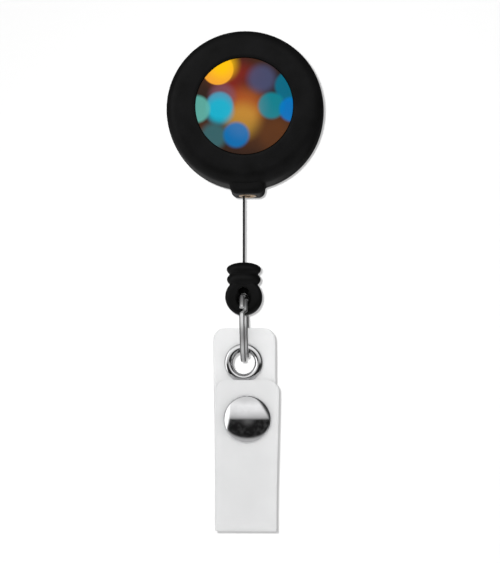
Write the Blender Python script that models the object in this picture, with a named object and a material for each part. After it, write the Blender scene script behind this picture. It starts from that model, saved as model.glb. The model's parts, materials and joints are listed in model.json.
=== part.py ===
"""Retractable badge reel with a belt clip, a cord end, a split ring and a snap strap.

The reel hangs as it is worn: +Z is up, its front faces -Y, and +X is to the right seen from the front.
Sizes are in millimetres, measured from the casing's centre, and solid() turns them into metres. The
scene's origin is on the belt face of the clip, so everything hangs from there.
"""
import math

import bmesh
import bpy
from mathutils import Vector

MM = 0.001
GAP = 0.3  # what pieces that touch keep between them
SLIP = 0.15  # the smaller gap inside a close fit
FINE, ROUND, SMALL = 64, 40, 24  # steps of a whole turn

BELT_FACE = Vector((0.0, 5.5, 9.0))  # the scene's origin: on the clip, above its rivet

# casing
CASE_R, CASE_WALL = 16.0, 1.4
FACE_Y, REAR_Y = -5.6, 4.6
FRONT_EDGE_R, REAR_EDGE_R = 3.0, 2.0
PARTING_Y = 0.5
INNER_FRONT_Y, INNER_REAR_Y = -3.9, 3.4
CORNER = 1.0  # of the casing's inside
FLOOR_FRONT_Y, FLOOR_REAR_Y = INNER_FRONT_Y + GAP, INNER_REAR_Y - GAP  # what the axle stands between

# label
LABEL_R, LABEL_T, LABEL_Y = 9.8, 0.4, -5.5
RECESS_R, RECESS_Y = 9.95, -4.95
CREST_R, CREST_Y = 10.4, -5.75  # the raised lip round the label

# cord boss and bush
BOSS_X, BOSS_HALF_W = 0.5, 3.48
BOSS_FRONT_Y, BOSS_REAR_Y = -4.2, 3.6
BOSS_TOP_Z, BOSS_BOTTOM_Z = -14.75, -17.5
BOSS_EDGE = 1.15
BUSH_R, BUSH_BORE_R = 1.9, 1.1
BUSH_TOP_Z, BUSH_BOTTOM_Z = -15.3, -17.6
BUSH_LIP = 0.2

# spool, spring and axle
JOURNAL_R, ARBOR_R, FOOT_R, FOOT_RECESS_R = 1.5, 2.5, 3.6, 2.7
ARBOR_Y, FOOT_Y, FOOT_FLOOR_Y = -1.9, 1.2, 1.8
RUNNING_FIT = 0.1  # between the journal and the spool's bore
HUB_WALL, HUB_T = 1.4, 0.4
DRUM_R, CUP_R, FLANGE_R = 9.4, 8.6, 13.4
SPOOL_FRONT_Y, SPOOL_REAR_Y = -3.5, 2.3
GROOVE_HALF_W, FLANGE_T = 1.1, 0.8
CUP_FLOOR_Y = -2.6
SPRING_T, SPRING_TURNS = 0.22, 7
SPRING_Y = (-1.8, 1.0)
COVER_Y, COVER_T = 1.4, 0.4
WASHER_R, WASHER_Y, WASHER_T = 3.2, -3.8, 0.2

# cord
CORD_D = 0.46
HANG_X = -0.3  # the cord leaves the bush near its left side
WINDING_R, WINDING_ROWS = 10.9, 4
EXIT_Z = -15.0  # where the cord turns down
EXIT_BEND = (1.2, 0.3)  # how far before and after that place the bend reaches
CORD_CLEAR = 0.22  # round the cord inside the cord end

# cord end
END_TOP_Z = -31.0
RIBS = ((-32.4, 1.4, 3.48, 2.65), (-34.5, 1.25, 3.42, 2.6))  # height, half height, half width, half depth
RIB_EDGE = 0.6  # how wide a rib still is where it starts, as a share of its widest
NECK_HALF_W, NECK_HALF_D = 2.75, 2.1
DISC_Z, DISC_R, DISC_HALF_T, DISC_EDGE_R = -38.05, 3.72, 2.0, 0.9
HOLE_Z, HOLE_R, HOLE_MOUTH_R = -38.45, 1.22, 2.1
HOLE_STRAIGHT_Y, HOLE_MOUTH_Y = 1.3, 2.3  # half the straight part, and half the flared whole
POCKET_Z, POCKET_R, POCKET_Y = -37.2, 1.1, -0.9  # the dark pocket above the ring, and its floor
KNOT_Z, KNOT_R = -33.8, 1.0

# split ring
RING_Z, RING_R = -44.39, 5.94  # centre and middle of the wire
WIRE_W, WIRE_T, WIRE_BEVEL = 0.75, 1.0, 0.2  # across the ring, along its axis
NEST_X, NEST_R = 0.6, 0.82  # from the inner turn to the outer: to the left, and outward
CUT_ANGLE = math.radians(150)  # where the wire's ends are: above the middle, at the front
CROSSING, CUT_GAP = math.radians(20), math.radians(5)  # where the turns change places, and between the ends

# strap
VINYL = 0.5
LAYER_Y, FLAP_Y = 0.0, -2.53
STRAP_TOP_Z, FLAP_TOP_Z, FOLD_Z = -44.3, -54.8, -84.75
STRAP_CORNER, FLAP_CORNER = 2.5, 2.3
BACK_TOP, FLAP_TOP, FOLD_EDGE = (-0.2, 6.27), (0.4, 6.45), (0.21, 6.1)  # middle and half width
TAPER_H = 22.0  # how far above the fold the width stops changing

# eyelet and press stud
PRESS_GAP = 0.1  # between the vinyl and the metal pressed on it
EYELET_Z, EYELET_R, EYELET_BORE_R, EYELET_WALL = -51.3, 3.95, 2.1, 0.3
EYELET_PROUD, CURL_R, CURL_T = 0.85, 0.45, 0.2  # the flange's height, and the curled end behind
EYELET_HOLE_R, POST_HOLE_R, CAP_HOLE_R = 2.75, 1.15, 1.55
SNAP_X, SNAP_Z, SNAP_R = 0.53, -62.6, 4.8
DOME_H, CAP_EDGE_H, CAP_STEM_R, CAP_STEM_H = 1.9, 0.45, 1.3, 0.3
SOCKET_R, SOCKET_T, SOCKET_WALL = 3.7, 0.4, (2.1, 2.7)
BUTTON_R, BUTTON_Y, BUTTON_T, STUD_BORE_R, STUD_R, STUD_T = 1.85, -1.65, 0.35, 1.05, 3.5, 0.35
POST_R, POST_HEAD_R, POST_HEAD_H = 0.85, 3.4, 0.7

# belt clip
CLIP_W, CLIP_T, CLIP_GAP = 11.0, 0.6, 4.4
CLIP_TOP_Z, CLIP_BOTTOM_Z = 11.5, -8.0
BELT_FACE_Z = 3.0  # where the face that the belt rests on starts, above the rivet's head
PINCH, PINCH_Z, PINCH_H = 0.8, -7.2, 0.55  # the tongue's gap to the base where it is least, and its height
FLARE, FLARE_Z = 2.0, -10.2  # the tongue's end, bent back from the pinch
SPRING_BEND = ((0.0, 2.0), (-0.25, -1.0), (-1.7, -4.6))  # the tongue's bend, from its own straight part
RIVET_R, RIVET_HOLE_R, RIVET_HEAD_R, RIVET_HEAD_H = 1.0, 1.3, 2.4, 0.85
RIVET_FOOT_R, RIVET_FOOT_T, RIVET_Y = 1.9, 0.45, 2.05


def material(name, colour, roughness, metallic=0.0, **inputs):
    made = bpy.data.materials.new(name)
    made.use_nodes = True
    shader = made.node_tree.nodes["Principled BSDF"]
    shader.inputs["Base Color"].default_value = (*colour, 1.0)
    shader.inputs["Roughness"].default_value = roughness
    shader.inputs["Metallic"].default_value = metallic
    for key, value in inputs.items():
        shader.inputs[key].default_value = value
    made.diffuse_color = (*colour, 1.0)
    return made


def pivot(name, place, parent=None):
    """An empty at a place in casing coordinates."""
    empty = bpy.data.objects.new(name, None)
    empty.empty_display_size = 2 * MM
    bpy.context.collection.objects.link(empty)
    empty["place"] = list(place)
    start = Vector(parent["place"]) if parent else BELT_FACE
    empty.location = (Vector(place) - start) * MM
    empty.parent = parent
    return empty


def solid(name, bm, parent, finish=None):
    """The named object made from a bmesh in casing coordinates, with its origin on its parent."""
    bmesh.ops.remove_doubles(bm, verts=bm.verts, dist=1e-4)
    bmesh.ops.translate(bm, verts=bm.verts, vec=-Vector(parent["place"]))
    bmesh.ops.scale(bm, verts=bm.verts, vec=(MM, MM, MM))
    bmesh.ops.recalc_face_normals(bm, faces=bm.faces)
    mesh = bpy.data.meshes.new(name)
    bm.to_mesh(mesh)
    bm.free()
    made = bpy.data.objects.new(name, mesh)
    bpy.context.collection.objects.link(made)
    made.parent = parent
    if finish:
        mesh.materials.append(finish)
    return made


def combine(target, tool_bm, operation):
    """A Boolean of the target with a hidden tool."""
    tool = solid(f"{target.name}_tool", tool_bm, target.parent)
    tool.hide_render = True
    tool.display_type = "WIRE"
    change = target.modifiers.new(operation.lower(), "BOOLEAN")
    change.operation = operation
    change.solver = "EXACT"
    change.object = tool


def arc(centre, radius, start, end, steps):
    """Points on an arc in the profile's plane, with its angles in degrees."""
    turns = (math.radians(start + (end - start) * i / steps) for i in range(steps + 1))
    return [(centre[0] + radius * math.cos(t), centre[1] + radius * math.sin(t)) for t in turns]


def turned(profile, centre, axis="Y", steps=ROUND):
    """A solid of revolution from (radius, place along the axis) points about a line through centre."""
    bm = bmesh.new()
    along = Vector((0, 1, 0)) if axis == "Y" else Vector((0, 0, 1))
    base = Vector(centre) - along * Vector(centre).dot(along)
    verts = [bm.verts.new(base + Vector((r, 0, 0)) + along * d) for r, d in profile]
    ends = list(zip(verts, verts[1:]))
    if profile[0][0] > 0 or profile[-1][0] > 0:
        ends.append((verts[-1], verts[0]))
    edges = [bm.edges.new(pair) for pair in ends]
    bmesh.ops.spin(
        bm, geom=verts + edges, cent=base, axis=along, angle=math.tau, steps=steps, use_merge=True
    )
    return bm


def prism(outline, plane, low, high):
    """A flat outline in the XZ or YZ plane, extruded between two places."""
    bm = bmesh.new()
    if plane == "XZ":
        verts = [bm.verts.new((a, low, b)) for a, b in outline]
        shift = (0, high - low, 0)
    else:
        verts = [bm.verts.new((low, a, b)) for a, b in outline]
        shift = (high - low, 0, 0)
    face = bm.faces.new(verts)
    grown = bmesh.ops.extrude_face_region(bm, geom=[face])
    moved = [item for item in grown["geom"] if isinstance(item, bmesh.types.BMVert)]
    bmesh.ops.translate(bm, verts=moved, vec=shift)
    return bm


def lofted(sections):
    """A closed solid through rings of points."""
    bm = bmesh.new()
    rings = [[bm.verts.new(point) for point in section] for section in sections]
    for low, high in zip(rings, rings[1:]):
        for i in range(len(low)):
            j = (i + 1) % len(low)
            bm.faces.new((low[i], low[j], high[j], high[i]))
    bm.faces.new(rings[0])
    bm.faces.new(rings[-1])
    return bm


def cord_piece(name, points, parent, finish):
    """A round cord along points in casing coordinates."""
    curve = bpy.data.curves.new(name, "CURVE")
    curve.dimensions = "3D"
    curve.bevel_depth = CORD_D / 2 * MM
    curve.bevel_resolution = 2
    curve.use_fill_caps = True
    spline = curve.splines.new("POLY")
    spline.points.add(len(points) - 1)
    for point, place in zip(spline.points, points):
        point.co = (*((Vector(place) - Vector(parent["place"])) * MM), 1.0)
    made = bpy.data.objects.new(name, curve)
    bpy.context.collection.objects.link(made)
    made.parent = parent
    curve.materials.append(finish)
    return made


def boss_block(low_y, high_y, outer_y):
    """Half of the cord boss, with its outer edges rounded."""
    left, right = BOSS_X - BOSS_HALF_W, BOSS_X + BOSS_HALF_W
    outline = [(left, BOSS_TOP_Z), (left, BOSS_BOTTOM_Z), (right, BOSS_BOTTOM_Z), (right, BOSS_TOP_Z)]
    bm = prism(outline, "XZ", low_y, high_y)

    def is_outer(edge):
        inside = all(abs(v.co.y - outer_y) > SLIP for v in edge.verts)
        spans = abs(edge.verts[0].co.y - edge.verts[1].co.y) > SLIP
        top = all(v.co.z > BOSS_TOP_Z - SLIP for v in edge.verts)
        return not top and (spans and min(v.co.z for v in edge.verts) < BOSS_TOP_Z - SLIP or not inside)

    edges = [edge for edge in bm.edges if is_outer(edge)]
    bmesh.ops.bevel(bm, geom=edges, offset=BOSS_EDGE, segments=3, profile=0.5, affect="EDGES")
    return bm


def cord_channel():
    bore, top, bottom = BUSH_R + GAP, BOSS_TOP_Z + 1, BOSS_BOTTOM_Z - 1
    return turned([(0, top), (bore, top), (bore, bottom), (0, bottom)], (BOSS_X, 0, 0), "Z", SMALL)


def build_casing(case, plastic, print_ink, tan_metal):
    edge_c = (CASE_R - FRONT_EDGE_R, FACE_Y + FRONT_EDGE_R)
    inside_r = CASE_R - CASE_WALL
    front = [(0, RECESS_Y), (RECESS_R, RECESS_Y), (RECESS_R, FACE_Y), (CREST_R, CREST_Y)]
    front += arc(edge_c, FRONT_EDGE_R, -90, 0, 7)
    front += [(CASE_R, PARTING_Y - SLIP / 2), (inside_r, PARTING_Y - SLIP / 2)]
    front += [(inside_r, INNER_FRONT_Y + CORNER), (inside_r - CORNER, INNER_FRONT_Y), (0, INNER_FRONT_Y)]
    shell = solid("front_shell", turned(front, (0, 0, 0), steps=FINE), case, plastic)
    combine(shell, boss_block(BOSS_FRONT_Y, PARTING_Y - SLIP / 2, BOSS_FRONT_Y), "UNION")
    combine(shell, cord_channel(), "DIFFERENCE")

    rear_c = (CASE_R - REAR_EDGE_R, REAR_Y - REAR_EDGE_R)
    rear = [(RIVET_HOLE_R, REAR_Y)] + arc(rear_c, REAR_EDGE_R, 90, 0, 5)
    rear += [(CASE_R, PARTING_Y + SLIP / 2), (inside_r, PARTING_Y + SLIP / 2)]
    rear += [(inside_r, INNER_REAR_Y - CORNER), (inside_r - CORNER, INNER_REAR_Y)]
    rear += [(RIVET_HOLE_R, INNER_REAR_Y)]
    back = solid("rear_shell", turned(rear, (0, 0, 0), steps=FINE), case, plastic)
    combine(back, boss_block(PARTING_Y + SLIP / 2, BOSS_REAR_Y, BOSS_REAR_Y), "UNION")
    combine(back, cord_channel(), "DIFFERENCE")

    label_back = LABEL_Y + LABEL_T
    label = [(0, LABEL_Y), (LABEL_R, LABEL_Y), (LABEL_R, label_back), (0, label_back)]
    solid("label_disc", turned(label, (0, 0, 0), steps=FINE), case, print_ink)

    lip_z = BUSH_BOTTOM_Z + BUSH_LIP
    bush = [(BUSH_BORE_R, BUSH_TOP_Z), (BUSH_R, BUSH_TOP_Z), (BUSH_R, lip_z)]
    bush += [(BUSH_R - BUSH_LIP, BUSH_BOTTOM_Z), (BUSH_BORE_R + BUSH_LIP, BUSH_BOTTOM_Z)]
    bush += [(BUSH_BORE_R, lip_z)]
    solid("exit_bush", turned(bush, (BOSS_X, 0, 0), "Z", SMALL), case, tan_metal)


def build_spool(case, spool_axis, white_plastic, spring_steel, nylon, cord_black):
    axle = [(0, FLOOR_FRONT_Y), (JOURNAL_R, FLOOR_FRONT_Y), (JOURNAL_R, ARBOR_Y), (ARBOR_R, ARBOR_Y)]
    axle += [(ARBOR_R, FOOT_Y), (FOOT_R, FOOT_Y), (FOOT_R, FLOOR_REAR_Y), (FOOT_RECESS_R, FLOOR_REAR_Y)]
    axle += [(FOOT_RECESS_R, FOOT_FLOOR_Y), (0, FOOT_FLOOR_Y)]
    solid("hub_axle", turned(axle, (0, 0, 0), steps=SMALL), case, spring_steel)

    bore, hub_r, hub_end = JOURNAL_R + RUNNING_FIT, JOURNAL_R + HUB_WALL, CUP_FLOOR_Y + HUB_T
    near, far = GROOVE_HALF_W, GROOVE_HALF_W + FLANGE_T
    spool = [(bore, SPOOL_FRONT_Y), (DRUM_R, SPOOL_FRONT_Y)]
    for start, end in ((-far, -near), (near, far)):
        spool += [(DRUM_R, start), (FLANGE_R, start), (FLANGE_R, end), (DRUM_R, end)]
    spool += [(DRUM_R, SPOOL_REAR_Y), (CUP_R, SPOOL_REAR_Y), (CUP_R, CUP_FLOOR_Y)]
    spool += [(hub_r, CUP_FLOOR_Y), (hub_r, hub_end), (bore, hub_end)]
    solid("spool", turned(spool, (0, 0, 0), steps=48), spool_axis, white_plastic)

    cover_bore, cover_r, cover_end = FOOT_R + GAP, CUP_R - SLIP, COVER_Y + COVER_T
    cover = [(cover_bore, COVER_Y), (cover_r, COVER_Y), (cover_r, cover_end), (cover_bore, cover_end)]
    solid("spring_cover", turned(cover, (0, 0, 0), steps=ROUND), spool_axis, white_plastic)

    washer_bore, washer_end = JOURNAL_R + SLIP, WASHER_Y + WASHER_T
    washer = [(washer_bore, WASHER_Y), (WASHER_R, WASHER_Y), (WASHER_R, washer_end), (washer_bore, washer_end)]
    solid("spool_washer", turned(washer, (0, 0, 0), steps=SMALL), case, nylon)

    start_r, end_r = ARBOR_R + SPRING_T + SLIP, CUP_R - SPRING_T - SLIP
    sections = []
    count = SPRING_TURNS * SMALL
    for i in range(count + 1):
        turn, radius = math.tau * i / SMALL, start_r + (end_r - start_r) * i / count
        out = Vector((math.cos(turn), 0, math.sin(turn)))
        inner, outer = out * (radius - SPRING_T / 2), out * (radius + SPRING_T / 2)
        low, high = Vector((0, SPRING_Y[0], 0)), Vector((0, SPRING_Y[1], 0))
        sections.append((inner + low, outer + low, outer + high, inner + high))
    solid("mainspring", lofted(sections), case, spring_steel)

    inner_r, edge_y, low_r = DRUM_R + SLIP, GROOVE_HALF_W - SLIP, WINDING_R - CORD_D / 4
    wide = 2 * edge_y / WINDING_ROWS
    winding = [(inner_r, -edge_y)]
    for row in range(WINDING_ROWS):
        start = -edge_y + wide * row
        winding += [(low_r, start), (WINDING_R, start + wide / 2)]
    winding += [(low_r, edge_y), (inner_r, edge_y)]
    solid("cord_winding", turned(winding, (0, 0, 0), steps=ROUND), spool_axis, cord_black)


def end_half_sizes(z):
    """The cord end's half width and half depth at a height: its ribs, with a neck between and below."""
    sizes = [(NECK_HALF_W, NECK_HALF_D)] if z < RIBS[0][0] + RIBS[0][1] / 2 else []
    for height, half, wide, deep in RIBS:
        swell = math.sqrt(max(0.0, 1 - ((z - height) / half) ** 2))
        if swell or not sizes:
            share = RIB_EDGE + (1 - RIB_EDGE) * swell
            sizes.append((wide * share, deep * share))
    return max(size[0] for size in sizes), max(size[1] for size in sizes)


def build_cord(case, cord, cord_black):
    """The cord from the drum to its knot, in two pieces that meet in the bush."""
    ride_r = WINDING_R + CORD_D / 2 + SLIP
    exit_angle = math.atan2(EXIT_Z, HANG_X)
    leave_angle = exit_angle - math.acos(ride_r / math.hypot(HANG_X, EXIT_Z))
    leave = Vector((ride_r * math.cos(leave_angle), 0, ride_r * math.sin(leave_angle)))
    corner = Vector((HANG_X, 0, EXIT_Z))
    inward = corner + (leave - corner).normalized() * EXIT_BEND[0]
    downward = corner - Vector((0, 0, EXIT_BEND[1]))
    bend = [inward.lerp(corner, t).lerp(corner.lerp(downward, t), t) for t in (0, 0.25, 0.5, 0.75, 1)]
    meet_z = (BUSH_TOP_Z + BUSH_BOTTOM_Z) / 2
    cord_piece("cord_lead", [leave, *bend, (HANG_X, 0, meet_z + SLIP / 2)], case, cord_black)

    top_z, bottom_z, steps = meet_z - SLIP / 2, KNOT_Z + KNOT_R + SLIP, 12
    levels = [top_z + (bottom_z - top_z) * i / steps for i in range(steps + 1)]
    cord_piece("cord_run", [(HANG_X, 0, z) for z in levels], cord, cord_black)
    knot = arc((0, KNOT_Z), KNOT_R, -90, 90, 8)
    knot[0], knot[-1] = (0, KNOT_Z - KNOT_R), (0, KNOT_Z + KNOT_R)
    solid("cord_knot", turned(knot, (HANG_X, 0, 0), "Z", 16), cord, cord_black)


def build_cord_end(end, plastic):
    """The ribbed moulding that holds the knot, over the disc that the ring passes through."""
    sections = []
    levels = 24
    for level in range(levels + 1):
        z = END_TOP_Z + (DISC_Z - END_TOP_Z) * level / levels
        wide, deep = end_half_sizes(z)
        turns = (math.tau * i / SMALL for i in range(SMALL))
        sections.append([(HANG_X + wide * math.cos(t), deep * math.sin(t), z) for t in turns])
    body = solid("cord_end", lofted(sections), end, plastic)
    edge_r, edge_y = DISC_R - DISC_EDGE_R, DISC_HALF_T - DISC_EDGE_R
    disc = [(0, -DISC_HALF_T)] + arc((edge_r, -edge_y), DISC_EDGE_R, -90, 0, 3)
    disc += arc((edge_r, edge_y), DISC_EDGE_R, 0, 90, 3) + [(0, DISC_HALF_T)]
    combine(body, turned(disc, (HANG_X, 0, DISC_Z), steps=ROUND), "UNION")
    hole = [(0, -HOLE_MOUTH_Y), (HOLE_MOUTH_R, -HOLE_MOUTH_Y), (HOLE_R, -HOLE_STRAIGHT_Y)]
    hole += [(r, -y) for r, y in reversed(hole)]
    combine(body, turned(hole, (HANG_X, 0, HOLE_Z), steps=SMALL), "DIFFERENCE")
    pocket = [(0, -HOLE_MOUTH_Y), (POCKET_R, -HOLE_MOUTH_Y), (POCKET_R, POCKET_Y), (0, POCKET_Y)]
    combine(body, turned(pocket, (HANG_X, 0, POCKET_Z), steps=SMALL), "DIFFERENCE")
    shoulder, bore, wide = KNOT_Z + KNOT_R + SLIP, CORD_D / 2 + CORD_CLEAR, KNOT_R + GAP
    bottom = POCKET_Z - GAP
    passage = [(0, END_TOP_Z + 1), (bore, END_TOP_Z + 1), (bore, shoulder), (wide, shoulder)]
    passage += [(wide, bottom), (0, bottom)]
    combine(body, turned(passage, (HANG_X, 0, 0), "Z", 16), "DIFFERENCE")


def build_ring(ring, chrome):
    """Two nested turns of flat wire that change places at the cut."""
    steps = 64
    half_w, half_t = WIRE_W / 2, WIRE_T / 2
    corners = []
    for side_t, side_w in ((1, 1), (-1, 1), (-1, -1), (1, -1)):
        near = (side_t * half_t, side_w * (half_w - WIRE_BEVEL))
        far = (side_t * (half_t - WIRE_BEVEL), side_w * half_w)
        corners += [near, far] if side_t * side_w > 0 else [far, near]
    start = (CROSSING + CUT_GAP) / 2
    length = 2 * math.tau - 2 * start
    sections = []
    for i in range(steps + 1):
        along = start + length * i / steps
        swap = (along - math.tau) / CROSSING
        lane = max(-0.5, min(0.5, swap))
        turn = CUT_ANGLE + along
        out = Vector((0, math.cos(turn), math.sin(turn)))
        centre = Vector((HANG_X - NEST_X * lane, 0, RING_Z)) + out * (RING_R + NEST_R * lane)
        sections.append([centre + Vector((t, 0, 0)) + out * w for t, w in corners])
    solid("split_ring", lofted(sections), ring, chrome)


def strap_edge(z, top):
    """The strap's middle and half width at a height, from its own at the top to the fold's."""
    share = max(0.0, min(1.0, (z - FOLD_Z) / TAPER_H))
    return tuple(f + (t - f) * share for f, t in zip(FOLD_EDGE, top))


def strap_layer(name, points, top, corner, parent, finish):
    """One layer of the strap: its side outline across the strap, with the top corners rounded."""
    bm = prism(points, "YZ", -1.0, 1.0)
    highest = max(v.co.z for v in bm.verts)
    for vert in bm.verts:
        middle, half = strap_edge(vert.co.z, top)
        vert.co.x = middle + half * vert.co.x
    near = 0.01
    edges = []
    for edge in bm.edges:
        start, end = (v.co for v in edge.verts)
        if min(start.z, end.z) > highest - near and abs(start.x - end.x) < near:
            edges.append(edge)
    bmesh.ops.bevel(bm, geom=edges, offset=corner, segments=6, profile=0.5, affect="EDGES")
    return solid(name, bm, parent, finish)


def fold_outline(top_z, y, side):
    """The side outline of a straight layer and its part of the fold; the two parts stay a little apart."""
    middle_y, radius = (LAYER_Y + FLAP_Y) / 2, abs(LAYER_Y - FLAP_Y) / 2
    start, end = (0, -84) if side > 0 else (180, 264)
    centre = (middle_y, FOLD_Z + radius + VINYL / 2)
    outer = arc(centre, radius + VINYL / 2, start, end, 6)
    inner = arc(centre, radius - VINYL / 2, end, start, 6)
    levels = [centre[1] + (top_z - centre[1]) * share for share in (0.25, 0.5, 0.75)]
    up = [(y - side * VINYL / 2, z) for z in levels]
    down = [(y + side * VINYL / 2, z) for z in reversed(levels)]
    top = [(y - side * VINYL / 2, top_z), (y + side * VINYL / 2, top_z)]
    return outer + inner + up + top + down


def punch(layer, centre, radius):
    """A round hole through one layer of the strap."""
    y = centre[1]
    tool = turned([(0, y - 1), (radius, y - 1), (radius, y + 1), (0, y + 1)], centre, steps=SMALL)
    combine(layer, tool, "DIFFERENCE")


def build_strap(strap, flap, vinyl, chrome):
    back_side = fold_outline(STRAP_TOP_Z, LAYER_Y, 1)
    back = strap_layer("strap_back", back_side, BACK_TOP, STRAP_CORNER, strap, vinyl)
    punch(back, (HANG_X, LAYER_Y, EYELET_Z), EYELET_HOLE_R)
    punch(back, (SNAP_X, LAYER_Y, SNAP_Z), POST_HOLE_R)
    flap_side = fold_outline(FLAP_TOP_Z, FLAP_Y, -1)
    front = strap_layer("strap_flap", flap_side, FLAP_TOP, FLAP_CORNER, flap, vinyl)
    punch(front, (SNAP_X, FLAP_Y, SNAP_Z), CAP_HOLE_R)

    face, barrel = VINYL / 2 + PRESS_GAP, EYELET_BORE_R + EYELET_WALL
    top, shoulder = face + EYELET_PROUD - 0.1, face + EYELET_PROUD - 0.25
    eyelet = [(EYELET_BORE_R, -shoulder + 0.3), (EYELET_BORE_R + 0.2, -shoulder), (EYELET_BORE_R + 0.7, -top)]
    eyelet += [(EYELET_R - 0.55, -shoulder), (EYELET_R - 0.1, -face - 0.25), (EYELET_R, -face)]
    eyelet += [(barrel, -face), (barrel, face + CURL_R), (barrel + CURL_R, face + CURL_R)]
    eyelet += [(barrel + CURL_R, face + CURL_R + CURL_T), (EYELET_BORE_R, face + CURL_R + CURL_T)]
    solid("eyelet", turned(eyelet, (HANG_X, 0, EYELET_Z), steps=ROUND), strap, chrome)
    washer_bore, washer_r, washer_t = barrel + SLIP, EYELET_R - 0.1, 0.35
    washer = [(washer_bore, face), (washer_r, face), (washer_r, face + washer_t / 2)]
    washer += [(barrel + 0.8, face + washer_t), (washer_bore, face + washer_t)]
    solid("eyelet_washer", turned(washer, (HANG_X, 0, EYELET_Z), steps=ROUND), strap, chrome)


def build_press_stud(strap, flap, chrome):
    """The cap and socket on the flap, and the stud and post on the back layer."""
    place = (SNAP_X, 0, SNAP_Z)
    rim_y, stem_y = FLAP_Y - VINYL / 2 - PRESS_GAP, FLAP_Y + VINYL / 2 + CAP_STEM_H
    dome_r = SNAP_R - 0.15
    bulge = DOME_H - CAP_EDGE_H
    cap = [(0, rim_y - DOME_H)]
    for share in (1 / 3, 0.64, 0.86, 1.0):
        cap.append((dome_r * share, rim_y - DOME_H + bulge * share**2))
    cap += [(SNAP_R, rim_y - CAP_EDGE_H / 2), (SNAP_R - 0.2, rim_y)]
    cap += [(CAP_STEM_R, rim_y), (CAP_STEM_R, stem_y), (0, stem_y)]
    solid("snap_cap", turned(cap, place, steps=ROUND), flap, chrome)

    floor_y, mouth_y = FLAP_Y + VINYL / 2 + PRESS_GAP, LAYER_Y - VINYL / 2 - 0.6
    bore = CAP_STEM_R + SLIP
    socket = [(bore, floor_y), (SOCKET_R, floor_y), (SOCKET_R, floor_y + 0.3)]
    socket += [(SOCKET_WALL[1] + 0.2, floor_y + 0.5), (SOCKET_WALL[1], mouth_y), (SOCKET_WALL[0], mouth_y)]
    socket += [(SOCKET_WALL[0], floor_y + SOCKET_T), (bore, floor_y + SOCKET_T)]
    solid("snap_socket", turned(socket, place, steps=SMALL), flap, chrome)

    base_y = LAYER_Y - VINYL / 2 - PRESS_GAP
    plate_y, inside_y = base_y - STUD_T, BUTTON_Y + BUTTON_T
    stud = [(0, BUTTON_Y), (BUTTON_R - 0.25, BUTTON_Y)]
    stud += [(BUTTON_R, BUTTON_Y + 0.25), (BUTTON_R, BUTTON_Y + 0.5)]
    stud += [(BUTTON_R - 0.25, plate_y), (STUD_R - 0.2, plate_y), (STUD_R, base_y)]
    stud += [(STUD_BORE_R, base_y), (STUD_BORE_R, inside_y), (0, inside_y)]
    solid("snap_stud", turned(stud, place, steps=SMALL), strap, chrome)

    head_y, tip_y = LAYER_Y + VINYL / 2 + PRESS_GAP, inside_y + SLIP
    post = [(0, tip_y), (POST_R, tip_y), (POST_R, head_y), (POST_HEAD_R, head_y)]
    post += [(POST_HEAD_R - 0.1, head_y + 0.3), (POST_HEAD_R - 1.2, head_y + POST_HEAD_H - 0.1)]
    post += [(0, head_y + POST_HEAD_H)]
    solid("snap_post", turned(post, place, steps=SMALL), strap, chrome)


def offset_path(path, thickness):
    """The outline of a bent strip, from the points of its middle line."""
    left, right = [], []
    for i, point in enumerate(path):
        before, after = Vector(path[max(i - 1, 0)]), Vector(path[min(i + 1, len(path) - 1)])
        tangent = (after - before).normalized()
        across = Vector((-tangent.y, tangent.x)) * thickness / 2
        left.append(tuple(Vector(point) + across))
        right.append(tuple(Vector(point) - across))
    return left + right[::-1]


def build_clip(case, clip_hinge, spring_steel):
    """A strip of spring steel bent over at the top: the base leaf on the casing, and the tongue behind it."""
    base_y = BELT_FACE.y - CLIP_T / 2
    tongue_y = BELT_FACE.y + CLIP_GAP + CLIP_T / 2
    fold_c, fold_r = ((base_y + tongue_y) / 2, CLIP_TOP_Z), (tongue_y - base_y) / 2
    half_w = CLIP_W / 2
    apart = math.degrees(SLIP / fold_r)
    base = [(base_y, CLIP_BOTTOM_Z), (base_y, BELT_FACE_Z)] + arc(fold_c, fold_r, 180, 90 + apart, 6)
    outline = offset_path(base, CLIP_T)
    plate = solid("clip_base", prism(outline, "YZ", -half_w, half_w), case, spring_steel)
    low_y, high_y = base_y - 1, base_y + 1
    hole = [(0, low_y), (RIVET_HOLE_R, low_y), (RIVET_HOLE_R, high_y), (0, high_y)]
    combine(plate, turned(hole, (0, 0, 0), steps=SMALL), "DIFFERENCE")

    pinch_y = BELT_FACE.y + PINCH + CLIP_T / 2
    tongue = arc(fold_c, fold_r, 90 - apart, 0, 6)
    tongue += [(tongue_y + y, z) for y, z in SPRING_BEND]
    for side, z in ((0.5, PINCH_Z + PINCH_H), (0, PINCH_Z), (0.5, PINCH_Z - PINCH_H)):
        tongue.append((pinch_y + side * PINCH_H, z))
    tongue.append((pinch_y + FLARE, FLARE_Z))
    outline = offset_path(tongue, CLIP_T)
    solid("clip_tongue", prism(outline, "YZ", -half_w, half_w), clip_hinge, spring_steel)

    head_y, foot_y = BELT_FACE.y + SLIP, RIVET_Y + RIVET_FOOT_T
    rivet = [(0, RIVET_Y), (RIVET_FOOT_R, RIVET_Y), (RIVET_FOOT_R, foot_y), (RIVET_R, foot_y)]
    rivet += [(RIVET_R, head_y), (RIVET_HEAD_R, head_y), (RIVET_HEAD_R - 0.2, head_y + RIVET_HEAD_H / 2)]
    rivet += [(RIVET_HEAD_R / 2, head_y + RIVET_HEAD_H - 0.1), (0, head_y + RIVET_HEAD_H)]
    solid("clip_rivet", turned(rivet, (0, 0, 0), steps=SMALL), case, spring_steel)
    bore, outer, washer_y = RIVET_R + 0.25, RIVET_FOOT_R + 0.6, foot_y + 0.1
    washer = [(bore, washer_y), (outer, washer_y), (outer, FLOOR_REAR_Y), (bore, FLOOR_REAR_Y)]
    solid("rivet_washer", turned(washer, (0, 0, 0), steps=SMALL), case, spring_steel)


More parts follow.
